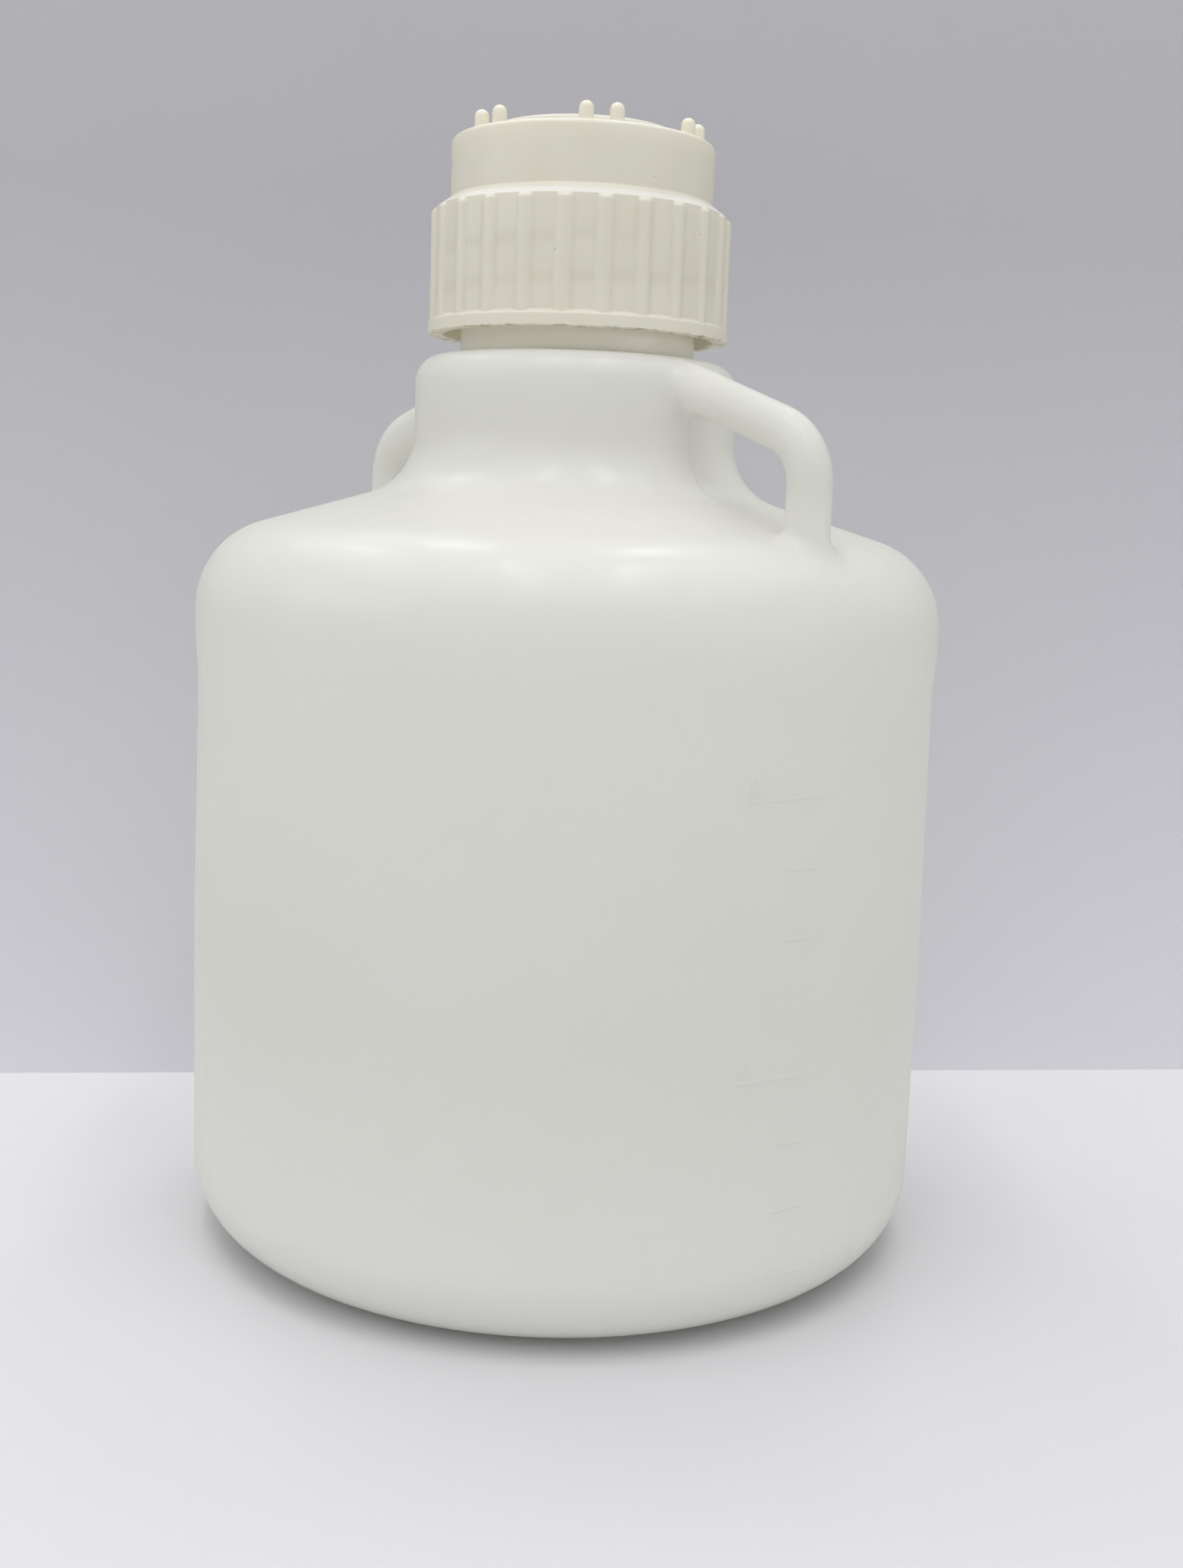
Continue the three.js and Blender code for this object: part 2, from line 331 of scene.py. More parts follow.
def outline_distance(points, outline):
    """Distance outside a solid of revolution whose outline keeps the solid on its left."""
    flat = np.column_stack((np.hypot(points[:, 0], points[:, 1]), points[:, 2]))
    along = outline[1:] - outline[:-1]
    offset = flat[:, None, :] - outline[None, :-1]
    share = np.clip((offset * along).sum(2) / (along ** 2).sum(1), 0, 1)
    length = np.linalg.norm(offset - share[..., None] * along, axis=2)
    nearest = length.argmin(1)
    pick = np.arange(len(flat))
    side = along[nearest, 0] * offset[pick, nearest, 1] - along[nearest, 1] * offset[pick, nearest, 0]
    return -np.sign(side) * length[pick, nearest]


def path_distance(points, path):
    """Distance from a run of points in space."""
    along = path[1:] - path[:-1]
    offset = points[:, None, :] - path[None, :-1]
    share = np.clip((offset * along).sum(2) / (along ** 2).sum(1), 0, 1)
    return np.linalg.norm(offset - share[..., None] * along, axis=2).min(1)


def smooth_min(first, second, blend):
    """The smaller of two values, with a fillet about as wide as blend where they meet."""
    overlap = np.maximum(blend - np.abs(first - second), 0)
    return np.minimum(first, second) - overlap ** 2 / (4 * blend)


def smooth_max(first, second, blend):
    """The larger of two values, with a fillet about as wide as blend where they meet."""
    return -smooth_min(-first, -second, blend)


def drop_on(points, field):
    """Moves points along the field's slope to where the field is zero."""
    probe = 0.01
    rounds = 2
    for _ in range(rounds):
        value = field(points)
        slope = np.column_stack([(field(points + step) - value) / probe for step in np.eye(3) * probe])
        steepness = np.maximum((slope ** 2).sum(1), 1e-6)
        points = points - slope * (value / steepness)[:, None]
    return points


def settle(vertices, field, rounds):
    """Evens out the vertices round a joint while keeping them on the surface where the field is zero."""
    place = {vertex: index for index, vertex in enumerate(vertices)}
    fixed = list({edge.other_vert(v) for v in vertices for edge in v.link_edges} - set(vertices))
    place.update({vertex: len(vertices) + index for index, vertex in enumerate(fixed)})
    points = np.array([v.co for v in vertices] + [v.co for v in fixed])
    widest = max(len(v.link_edges) for v in vertices)
    neighbours = np.zeros((len(vertices), widest), int)
    weights = np.zeros((len(vertices), widest, 1))
    for index, vertex in enumerate(vertices):
        for slot, edge in enumerate(vertex.link_edges):
            neighbours[index, slot] = place[edge.other_vert(vertex)]
            weights[index, slot] = 1 / len(vertex.link_edges)
    count = len(vertices)
    in_plane = np.abs(points[:count, 1]) < 1e-6
    evening = 0.6
    for _ in range(rounds):
        even = (points[neighbours] * weights).sum(1)
        points[:count] = drop_on((1 - evening) * points[:count] + evening * even, field)
        points[:count][in_plane, 1] = 0
    for vertex, point in zip(vertices, points):
        vertex.co = point


# ---------------------------------------------------------------- meshes

def add_ring_faces(mesh, lower, upper):
    """Faces between two rings of vertices. One ring may be a single pole, and two poles get no face."""
    count = max(len(lower), len(upper))
    if count == 1:
        return []
    faces = []
    for index in range(count):
        after = (index + 1) % count
        corners = [lower[index % len(lower)], lower[after % len(lower)],
                   upper[after % len(upper)], upper[index % len(upper)]]
        faces.append(mesh.faces.new(list(dict.fromkeys(corners))))
    return faces


def revolve(mesh, rings, angles, centre=(0, 0)):
    """Surfaces between rings of (radius or radii, height) about an upright axis, as lists of faces."""
    made = []
    for radii, height in rings:
        if np.ndim(radii) == 0 and radii < 1e-9:
            made.append([mesh.verts.new((*centre, height))])
            continue
        radii = np.broadcast_to(radii, len(angles))
        made.append([mesh.verts.new((centre[0] + r * math.cos(a), centre[1] + r * math.sin(a), height))
                     for r, a in zip(radii, angles)])
    return made, [add_ring_faces(mesh, lower, upper) for lower, upper in zip(made, made[1:])]


def cut_hole(mesh, faces, distance, reach):
    """Deletes the faces whose middle is within reach and returns the edges left open."""
    faces = [face for face in faces if face.is_valid]
    middles = np.array([face.calc_center_median() for face in faces])
    doomed = [face for face, gap in zip(faces, distance(middles)) if gap < reach]
    edges = {edge for face in doomed for edge in face.edges}
    bmesh.ops.delete(mesh, geom=doomed, context="FACES")
    return [edge for edge in edges if edge.is_valid and edge.is_boundary]


def tube_rings(mesh, path, radius, angles):
    """Rings of vertices round a path that lies in the XZ plane."""
    directions = np.gradient(path, axis=0)
    directions /= np.linalg.norm(directions, axis=1)[:, None]
    sideways = np.array((0.0, 1.0, 0.0))
    rings = []
    for centre, direction in zip(path, directions):
        outward = np.cross(sideways, direction)
        rings.append([mesh.verts.new(centre + radius * (math.cos(a) * outward + math.sin(a) * sideways))
                      for a in angles])
    return rings


def ring_edges(mesh, ring):
    """The edges that join a closed ring of vertices."""
    return [mesh.edges.get((vertex, ring[index - 1])) for index, vertex in enumerate(ring)]


def mark_vertices(mesh, name, share):
    """Stores a share from 0 to 1 on every vertex, for the material to read."""
    layer = mesh.verts.layers.float.new(name)
    for vertex, value in zip(mesh.verts, share):
        vertex[layer] = float(value)


def finish_mesh(mesh, name, body, material):
    """Stores a mesh that was built in millimetres as a smooth object that rides on a body."""
    bmesh.ops.scale(mesh, vec=(MM, MM, MM), verts=mesh.verts)
    bmesh.ops.recalc_face_normals(mesh, faces=mesh.faces)
    data = bpy.data.meshes.new(name)
    mesh.to_mesh(data)
    mesh.free()
    data.polygons.foreach_set("use_smooth", [True] * len(data.polygons))
    data.materials.append(material)
    piece = bpy.data.objects.new(name, data)
    bpy.context.scene.collection.objects.link(piece)
    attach(piece, body)
    return piece


# ---------------------------------------------------------------- bottle

def handle_path(side, start_radius, end_height, spacing):
    """Centre line of a handle from a place on its sloping arm to a height on its upright leg."""
    rise = (HANDLE_CORNER_RADIUS - start_radius) * math.tan(HANDLE_SLOPE)
    corners = [
        (start_radius, HANDLE_CORNER_HEIGHT + rise),
        (HANDLE_CORNER_RADIUS, HANDLE_CORNER_HEIGHT, HANDLE_BEND),
        (HANDLE_CORNER_RADIUS, end_height),
    ]
    flat = rounded_outline(corners, spacing, chord=math.radians(8))
    return np.column_stack((side * flat[:, 0], np.zeros(len(flat)), flat[:, 1]))


def handle_blend(points):
    """Fillet size: generous where the arm leaves the collar, tighter at the leg, tiny at the collar's top."""
    span = HANDLE_CORNER_RADIUS - COLLAR_RADIUS
    reach = np.clip((np.abs(points[:, 0]) - COLLAR_RADIUS) / span, 0, 1)
    under_top = np.clip((COLLAR_TOP - 1 - points[:, 2]) / BLEND_FADE, LEAST_BLEND_SHARE, 1)
    return (COLLAR_BLEND + (SHOULDER_BLEND - COLLAR_BLEND) * reach) * under_top


def weld_handle(mesh, faces, side, depth, neck_radius):
    """Joins one handle tube, or its bore, to the outside or inside surface of the bottle."""
    radius = TUBE_RADIUS - depth
    neck = [(neck_radius, COLLAR_TOP - depth), (neck_radius, LIP_HEIGHT)]
    outline = rounded_outline(shell_corners(depth) + neck, LONGEST_RUN)
    outline = outline[outline[:, 1] > STRAIGHT_TOP]
    centre_line = handle_path(side, HANDLE_INNER_END - depth, HANDLE_LOWER_END - depth, LONGEST_RUN)

    def gap(points):
        return path_distance(points, centre_line)

    def surface(points):
        return smooth_min(outline_distance(points, outline), gap(points) - radius, handle_blend(points))

    open_edges = cut_hole(mesh, faces, gap, radius + HOLE_MARGIN)
    free_start = COLLAR_RADIUS - depth + CLEAR_OF_COLLAR
    free_end = shoulder_height(HANDLE_CORNER_RADIUS, depth) + CLEAR_OF_SHOULDER
    angles = np.arange(TUBE_SIDES) * TURN / TUBE_SIDES
    rings = tube_rings(mesh, handle_path(side, free_start, free_end, TUBE_STEP), radius, angles)
    for lower, upper in zip(rings, rings[1:]):
        add_ring_faces(mesh, lower, upper)
    middle = (COLLAR_RADIUS + HANDLE_CORNER_RADIUS) / 2
    at_collar = [edge for edge in open_edges if abs(edge.verts[0].co.x) < middle]
    at_shoulder = [edge for edge in open_edges if abs(edge.verts[0].co.x) >= middle]
    bmesh.ops.bridge_loops(mesh, edges=at_collar + ring_edges(mesh, rings[0]))
    bmesh.ops.bridge_loops(mesh, edges=at_shoulder + ring_edges(mesh, rings[-1]))

    near = {v for face in faces if face.is_valid for v in face.verts}
    near |= {v for ring in rings for v in ring}
    near = [v for v in near if v.co.x * side > 0 and v.co.z < COLLAR_TOP - depth - 0.1]
    places = np.array([v.co for v in near])
    close = (gap(places) < radius + SETTLE_REACH) & (outline_distance(places, outline) < SETTLE_REACH)
    settle([v for v, is_close in zip(near, close) if is_close], surface, SETTLE_ROUNDS)
    return [v for ring in rings for v in ring]


def handle_share(places):
    """0 on the bottle's body and 1 along a handle, with a soft change over each end of the tube."""
    collar_gap, collar_fade = 6, 14
    shoulder_gap, shoulder_fade = 8, 12
    radii = np.hypot(places[:, 0], places[:, 1])
    past_collar = (radii - COLLAR_RADIUS - collar_gap) / collar_fade
    over_shoulder = (places[:, 2] - shoulder_height(radii, 0) - shoulder_gap) / shoulder_fade
    beside = np.abs(places[:, 1]) < TUBE_RADIUS + 0.5
    return np.clip(np.minimum(past_collar, over_shoulder), 0, 1) * beside


def thread_rise(angles, height, start_height, crest):
    """How far a thread ridge stands out at each angle, at one height."""
    rise = np.zeros(len(angles))
    turned = ((angles - THREAD_START_ANGLE) / TURN) % 1
    for extra in range(math.ceil(THREAD_TURNS)):
        along = (turned + extra) / THREAD_TURNS
        off = np.abs(height - start_height - (turned + extra) * THREAD_PITCH) / THREAD_HALF_WIDTH
        fade = np.clip(np.minimum(along, 1 - along) / THREAD_FADE, 0, 1)
        ridge = np.where(off < 1, (1 + np.cos(np.pi * np.minimum(off, 1))) / 2, 0)
        rise = np.maximum(rise, crest * ridge * fade)
    return rise


def join_runs(*runs):
    """One outline from runs that each start where the last one ended."""
    return np.vstack([runs[0]] + [run[1:] for run in runs[1:]])


def around(count, centres=(), offsets=()):
    """Evenly spaced angles, with extra ones at small offsets to both sides of some centres."""
    extra = [(centre + sign * offset) % TURN
             for centre in centres for offset in offsets for sign in (1, -1)]
    angles = [TURN * index / count for index in range(count)]
    return np.unique(np.array(angles + extra).round(9))


def raise_seam(mesh, vertices):
    """Lifts the line where the mould's halves met: a fine ridge, heavier where the base was pinched."""
    bmesh.ops.recalc_face_normals(mesh, faces=mesh.faces)
    mesh.normal_update()
    lowest, highest = 2, COLLAR_TOP - 5
    for vertex in vertices:
        if abs(vertex.co.y) > 1e-6 or vertex.co.z > highest:
            continue
        inward = PINCH_RADIUS - abs(vertex.co.x)
        if inward > 0:
            vertex.co += vertex.normal * PINCH_RISE * min(1, inward / PINCH_FADE)
        elif vertex.co.z > lowest:
            vertex.co += vertex.normal * SEAM_RISE


def make_bottle(material):
    """The bottle as one closed shell, with both handles welded to its outside and to its inside."""
    thread_low = THREAD_START - THREAD_HALF_WIDTH
    thread_high = THREAD_START + THREAD_TURNS * THREAD_PITCH + THREAD_HALF_WIDTH
    neck = [(NECK_RADIUS, COLLAR_TOP, NECK_ROOT_FILLET), (NECK_RADIUS, thread_low)]
    up_to_neck = shell_corners(0) + neck
    coarse = rounded_outline(up_to_neck, spacing=7)
    fine = rounded_outline(up_to_neck, spacing=2.6)
    outside = np.vstack((coarse[coarse[:, 1] < BEAD_HEIGHT], fine[fine[:, 1] >= BEAD_HEIGHT]))
    thread = rounded_outline([(NECK_RADIUS, thread_low), (NECK_RADIUS, thread_high)], spacing=0.5)
    lip = rounded_outline([(NECK_RADIUS, thread_high), (NECK_RADIUS, LIP_HEIGHT, LIP_FILLET),
                           (NECK_BORE, LIP_HEIGHT, LIP_FILLET), (NECK_BORE, thread_high)],
                          spacing=3, chord=math.radians(15))
    bore = [(NECK_BORE, thread_high), (NECK_BORE, COLLAR_TOP - WALL, BORE_FILLET)]
    inside = rounded_outline(bore + shell_corners(WALL)[::-1], spacing=5)
    outline = join_runs(outside, thread, lip, inside)

    mesh = bmesh.new()
    angles = around(192, centres=(0, math.pi), offsets=(0.006, 0.014))
    crest = NECK_THREAD_CREST - NECK_RADIUS
    rings = []
    for radius, height in outline:
        if abs(radius - NECK_RADIUS) < 1e-6:
            radius = radius + thread_rise(angles, height, THREAD_START, crest)
        rings.append((radius, height))
    made, strips = revolve(mesh, rings, angles)
    outer_faces = [face for strip in strips[:len(outside) - 1] for face in strip]
    inner_faces = [face for strip in strips[-len(inside):] for face in strip]
    skin = [vertex for ring in made[:len(outside)] for vertex in ring]
    for side in (1, -1):
        skin += weld_handle(mesh, outer_faces, side, 0, NECK_RADIUS)
        weld_handle(mesh, inner_faces, side, WALL, NECK_BORE)
    raise_seam(mesh, [vertex for vertex in skin if vertex.is_valid])
    mark_vertices(mesh, "handle", handle_share(np.array([vertex.co for vertex in mesh.verts])))
    piece = finish_mesh(mesh, "bottle_shell", "bottle", material)
    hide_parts("bottle")


# ---------------------------------------------------------------- volume marks

def wall_radius(height):
    """Outside radius of the bottle's upright wall."""
    outline = rounded_outline(shell_corners(0), spacing=2)
    wall = outline[(outline[:, 0] > SHOULDER_RADIUS - 5) & (outline[:, 1] < SHOULDER_CORNER)]
    return float(np.interp(height, wall[:, 1], wall[:, 0]))


def add_line(mesh, start, end, height):
    """A low, flat-topped ridge that runs round the wall between two angles."""
    radius = wall_radius(height)
    half = MARK_WIDTH / 2
    flat = half - MARK_SLOPE
    section = [(-half, -MARK_SUNK), (-half, MARK_FOOT), (-flat, MARK_RISE),
               (flat, MARK_RISE), (half, MARK_FOOT), (half, -MARK_SUNK)]
    steps = max(6, round((end - start) / math.radians(0.5)))
    rings = []
    for step in range(steps + 1):
        angle = start + (end - start) * step / steps
        outward = Vector((math.cos(angle), math.sin(angle), 0))
        rings.append([mesh.verts.new(outward * (radius + out) + Vector((0, 0, height + up)))
                      for up, out in section])
    for lower, upper in zip(rings, rings[1:]):
        add_ring_faces(mesh, lower, upper)
    mesh.faces.new(rings[0])
    mesh.faces.new(rings[-1][::-1])


def add_number(mesh, value, start, height):
    """A raised numeral, bent round the wall, with its lower left corner at an angle and a height."""
    text = bpy.data.curves.new("number", "FONT")
    text.body = str(value)
    text.size = NUMBER_SIZE
    text.extrude = MARK_RISE
    text.resolution_u = 6
    holder = bpy.data.objects.new("number", text)
    flat = bpy.data.meshes.new_from_object(holder)
    first = len(mesh.verts)
    mesh.from_mesh(flat)
    mesh.verts.ensure_lookup_table()
    for vertex in mesh.verts[first:]:
        across, up, out = vertex.co
        radius = wall_radius(height) + out
        angle = start + across / radius
        vertex.co = (radius * math.cos(angle), radius * math.sin(angle), height + up)
    bpy.data.objects.remove(holder)
    bpy.data.curves.remove(text)
    bpy.data.meshes.remove(flat)


def make_volume_marks(material):
    """Raised lines and numerals on the wall: two long lines, each over three short ones."""
    mesh = bmesh.new()
    short_start = MARK_START + SHORT_MARK_START * MARK_LENGTH
    short_end = MARK_START + SHORT_MARK_END * MARK_LENGTH
    for value, height in MARK_HEIGHTS.items():
        add_line(mesh, MARK_START, MARK_START + MARK_LENGTH, height)
        add_number(mesh, value, MARK_START, height + MARK_WIDTH)
        for short in SHORT_MARKS:
            add_line(mesh, short_start, short_end, height - short * MARK_STEP)
    bmesh.ops.remove_doubles(mesh, verts=mesh.verts, dist=0.001)
    piece = finish_mesh(mesh, "volume_marks", "bottle", material)
    piece.data.polygons.foreach_set("use_smooth", [False] * len(piece.data.polygons))


# ---------------------------------------------------------------- screw cap

def graded_steps(stops):
    """Heights that run from each stop to the next in steps of about the stop's own size."""
    heights = [stops[0][0]]
    for (start, size), (end, _) in zip(stops, stops[1:]):
        steps = max(1, round((end - start) / size))
        heights += [start + (end - start) * step / steps for step in range(1, steps + 1)]
    return heights


def rib_crests(angles, height):
    """Radius of the round-ended ribs at each angle, which falls below the skirt between two ribs."""
    pitch = TURN / RIB_COUNT
    off = (angles - RIB_START_ANGLE + pitch / 2) % pitch - pitch / 2
    centre = RIB_CREST - RIB_RADIUS
    half_width = math.sqrt(RIB_RADIUS ** 2 - (SKIRT_RADIUS - centre) ** 2)
    over_tip = max(height - RIB_TOP + RIB_TIP, 0) * half_width / RIB_TIP
    reach = np.maximum(RIB_RADIUS ** 2 - (centre * np.sin(off)) ** 2 - over_tip ** 2, 0)
    return centre * np.cos(off) + np.sqrt(reach)


def thread_over_rim(angles, height, crest):
    """The cap's inner thread at one height above the rim."""
    return thread_rise(angles, height, THREAD_START - THREAD_HOOK_DROP - RIM_HEIGHT, crest)


def cap_radii(height, angles):
    """Outside of the cap: ribs on a skirt, between the rim's band and the ledge under the drum."""
    skirt = SKIRT_RADIUS - thread_over_rim(angles, height, SINK_DEPTH)
    skirt = smooth_max(skirt, rib_crests(angles, height), RIB_BLEND)
    chamfer = BAND_RADIUS - (height - BAND_TOP) * (BAND_RADIUS - SKIRT_RADIUS) / BAND_CHAMFER
    skirt = smooth_max(skirt, smooth_min(BAND_RADIUS, chamfer, BAND_BLEND), BAND_BLEND)
    ledge_run = (SKIRT_RADIUS - DRUM_RADIUS) / (DRUM_FOOT - SKIRT_TOP)
    ledge = SKIRT_RADIUS - (height - SKIRT_TOP) * ledge_run
    return smooth_max(smooth_min(skirt, ledge, LEDGE_BLEND), DRUM_RADIUS, LEDGE_ROOT_BLEND)


def weld_peg(mesh, faces, angle):
    """Joins one round-ended peg to the flat ring on top of the drum."""
    foot = np.array((PEG_CIRCLE * math.cos(angle), PEG_CIRCLE * math.sin(angle), 0))
    tip = PEG_TOP - PEG_RADIUS

    def reach(points):
        return np.linalg.norm((points - foot)[:, :2], axis=1)

    def surface(points):
        over_tip = np.maximum(points[:, 2] - tip, 0)
        post = np.hypot(reach(points), over_tip) - PEG_RADIUS
        return smooth_min(points[:, 2] - DRUM_TOP, post, PEG_BLEND)

    open_edges = cut_hole(mesh, faces, reach, PEG_RADIUS + 0.5)
    shaft_foot = DRUM_TOP + PEG_SHAFT
    corners = [(PEG_RADIUS, shaft_foot), (PEG_RADIUS, PEG_TOP, 0.98 * PEG_RADIUS), (0, PEG_TOP)]
    outline = rounded_outline(corners, spacing=1.2, chord=math.radians(15))
    made, _ = revolve(mesh, outline, around(24), foot[:2])
    bmesh.ops.bridge_loops(mesh, edges=open_edges + ring_edges(mesh, made[0]))
    near = {vertex for edge in open_edges for vertex in edge.verts if vertex.is_valid}
    near |= {edge.other_vert(vertex) for vertex in near for edge in vertex.link_edges} | set(made[0])
    settle([vertex for vertex in near if vertex.co.z < shaft_foot + 0.1], surface, rounds=6)


def mark_cap(mesh):
    """Tells the material where shade is painted and dirt specks gather beside the ribs, where the skirt has
    sunk and is painted darker, and where ledge, crown and rim are.
    """
    rib_foot_width = 0.45
    rim_height = 0.45
    places = np.array([vertex.co for vertex in mesh.verts])
    angles = np.arctan2(places[:, 1], places[:, 0])
    radii = np.hypot(places[:, 0], places[:, 1])
    heights = places[:, 2]
    outside = (radii > SKIRT_BORE + 1) & (heights > 0.3)
    pitch = TURN / RIB_COUNT
    off = np.abs((angles - RIB_START_ANGLE + pitch / 2) % pitch - pitch / 2) * SKIRT_RADIUS
    beside = np.exp(-((off - RIB_FOOT) / rib_foot_width) ** 2)
    on_skirt = outside & (heights > BAND_TOP + 0.5) & (heights < SKIRT_TOP)
    sunk = [thread_over_rim(np.array([angle]), height, 1)[0] for angle, height in zip(angles, heights)]
    # The corner share carries painted shade and dark dirt specks beside each rib's foot.
    mark_vertices(mesh, "corner", beside * on_skirt)
    mark_vertices(mesh, "sink", np.array(sunk) * on_skirt * (off > RIB_FOOT))
    on_ledge = outside & (heights > SKIRT_TOP - 0.1) & (heights < DRUM_FOOT + 0.2)
    mark_vertices(mesh, "ledge", on_ledge)
    mark_vertices(mesh, "crown", (radii < CROWN_RADIUS) & (heights > DRUM_TOP - 0.1))
    mark_vertices(mesh, "rim", (radii > SKIRT_BORE - 0.1) * np.clip(1 - heights / rim_height, 0, 1))


def crown_outline():
    """The low crown on the drum, with a small gate mark in a dimple at its centre."""
    pip_top = CROWN_CENTRE + 0.2
    dimple = CROWN_CENTRE - 0.5
    corners = [(CROWN_RADIUS + 0.5, DRUM_TOP), (CROWN_RADIUS, DRUM_TOP, 0.4), (CROWN_EDGE, CROWN_HEIGHT, 2),
               (5, CROWN_CENTRE - 0.1), (4, dimple), (1.3, dimple), (1.1, pip_top), (0, pip_top)]
    return rounded_outline(corners, spacing=6, chord=math.radians(12))


def roof_outline():
    """The underside of the crown and drum, down to the top of the skirt's bore."""
    under_drum = DRUM_TOP - CAP_SKIN
    corners = [(0, CROWN_CENTRE - CAP_SKIN), (CROWN_EDGE - CAP_SKIN, CROWN_HEIGHT - CAP_SKIN),
               (CROWN_RADIUS - CAP_SKIN, under_drum), (DRUM_BORE, under_drum, 1),
               (DRUM_BORE, DRUM_BORE_FOOT), (SKIRT_BORE, SKIRT_BORE_TOP)]
    return rounded_outline(corners, spacing=9, chord=math.radians(20))


def make_cap(material):
    """The screw cap as one closed shell, with its pegs welded to the drum."""
    outside_stops = [(0.5, 0.4), (0.9, 1.2), (3.3, 0.16), (5.4, 1.3), (37.6, 0.18), (41, 0.4), (42.8, 0.2),
                     (44.4, 5), (DRUM_TOP - DRUM_EDGE, 1)]
    bore_stops = [(2, 5), (7, 0.6), (32.5, 6), (SKIRT_BORE_TOP, 1)]
    angles = around(0, [RIB_START_ANGLE + TURN * rib / RIB_COUNT for rib in range(RIB_COUNT)],
                    [0, TURN / RIB_COUNT / 2] + RIB_COLUMNS)
    rim = rounded_outline([(SKIRT_BORE, bore_stops[0][0]), (SKIRT_BORE, 0, RIM_FILLET),
                           (BAND_RADIUS, 0, RIM_FILLET), (BAND_RADIUS, outside_stops[0][0])],
                          spacing=1.6, chord=math.radians(30))
    top = rounded_outline([(DRUM_RADIUS, DRUM_TOP - DRUM_EDGE - 0.1), (DRUM_RADIUS, DRUM_TOP, DRUM_EDGE),
                           (CROWN_RADIUS + 0.5, DRUM_TOP)], spacing=0.8, chord=math.radians(13))
    crown = crown_outline()
    roof = roof_outline()

    outside = [(cap_radii(height, angles), height) for height in graded_steps(outside_stops)[1:-1]]
    crest = SKIRT_BORE - CAP_THREAD_CREST
    inside = [(SKIRT_BORE - thread_over_rim(angles, height, crest), height)
              for height in graded_steps(bore_stops)[-2:0:-1]]
    mesh = bmesh.new()
    made, strips = revolve(mesh, [*rim, *outside, *top, *crown[1:], *roof, *inside], angles)
    add_ring_faces(mesh, made[-1], made[0])
    first = len(rim) + len(outside)
    ring = [face for strip in strips[first:first + len(top)] for face in strip]
    for pair in range(PEG_PAIRS):
        middle = PEG_START_ANGLE + TURN * pair / PEG_PAIRS
        for side in (1, -1):
            weld_peg(mesh, ring, middle + side * PEG_HALF_GAP)
    mark_cap(mesh)
    bmesh.ops.translate(mesh, vec=(0, 0, RIM_HEIGHT), verts=mesh.verts)
    piece = finish_mesh(mesh, "ribbed_cap", "cap", material)
    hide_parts("screw_cap")


def make_sealing_ring(material):
    """The flat ring in the cap, a little dished on both faces."""
    inner, outer = NECK_BORE - 0.4, ring_high.x
    low, high = ring_low.z, ring_high.z
    middle = (inner + outer) / 2
    half_way = (low + high) / 2
    corners = [(inner, half_way), (inner, low, 0.5), (middle, low + 0.3), (outer, low, 0.5),
               (outer, high, 0.5), (middle, high - 0.3), (inner, high, 0.5), (inner, half_way)]
    outline = rounded_outline(corners, spacing=1, chord=math.radians(20))
    mesh = bmesh.new()
    made, _ = revolve(mesh, outline[:-1], around(120))
    add_ring_faces(mesh, made[-1], made[0])
    piece = finish_mesh(mesh, "sealing_ring", "gasket", material)
    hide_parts("cap_gasket")


# ---------------------------------------------------------------- materials

def add(tree, kind, sockets=None, **settings):
    """Adds a shader node; a socket takes a value or another node's output."""
    node = tree.nodes.new("ShaderNode" + kind)
    for name, value in settings.items():
        setattr(node, name, value)
    for name, value in (sockets or {}).items():
        if isinstance(value, bpy.types.NodeSocket):
            tree.links.new(value, node.inputs[name])
        else:
            node.inputs[name].default_value = value
    return node


def noise(tree, place, size, detail=1.0):
    """Soft noise from 0 to 1 whose blotches are about one size across, in metres."""
    return add(tree, "TexNoise", {"Vector": place, "Scale": 1 / size, "Detail": detail}).outputs["Fac"]


def stretched(tree, place, upright):
    """Coordinates in which upright lengths count for less, so that a pattern runs up and down."""
    return add(tree, "Mapping", {"Vector": place, "Scale": (1, 1, upright)}).outputs["Vector"]


def spread(tree, value, low, high, to_low, to_high):
    """Maps a value's range from low to high on to another range, and stops at its ends."""
    sockets = {"Value": value, "From Min": low, "From Max": high, "To Min": to_low, "To Max": to_high}
    return add(tree, "MapRange", sockets).outputs["Result"]


def times(tree, first, second):
    """The product of two values."""
    return add(tree, "Math", {0: first, 1: second}, operation="MULTIPLY").outputs["Value"]


def tint(tree, share, base, colour):
    """Mixes a colour over a base by a share from 0 to 1."""
    mix = add(tree, "Mix", data_type="RGBA")
    for socket, value in zip(("Factor_Float", "A_Color", "B_Color"), (share, base, colour)):
        found = next(s for s in mix.inputs if s.identifier == socket)
        if isinstance(value, bpy.types.NodeSocket):
            tree.links.new(value, found)
        else:
            found.default_value = value
    return next(s for s in mix.outputs if s.identifier == "Result_Color")


def specks(tree, place, spacing, radius, share):
    """Small round specks: 1 inside one and 0 elsewhere; only a share of the cells holds one."""
    cells = add(tree, "TexVoronoi", {"Vector": place, "Scale": 1 / spacing})
    near = spread(tree, cells.outputs["Distance"], radius / spacing, 0.5 * radius / spacing, 0, 1)
    chosen = spread(tree, add(tree, "SeparateColor", {"Color": cells.outputs["Color"]}).outputs["Red"],
                    share, share - 0.01, 0, 1)
    return times(tree, near, chosen)


def bumps(tree, *layers):
    """A chain of bumps, each from a height and a depth in metres."""
    normal = None
    for height, depth in layers:
        sockets = {"Height": height, "Distance": depth, "Strength": 1}
        if normal is not None:
            sockets["Normal"] = normal
        normal = add(tree, "Bump", sockets).outputs["Normal"]
    return normal


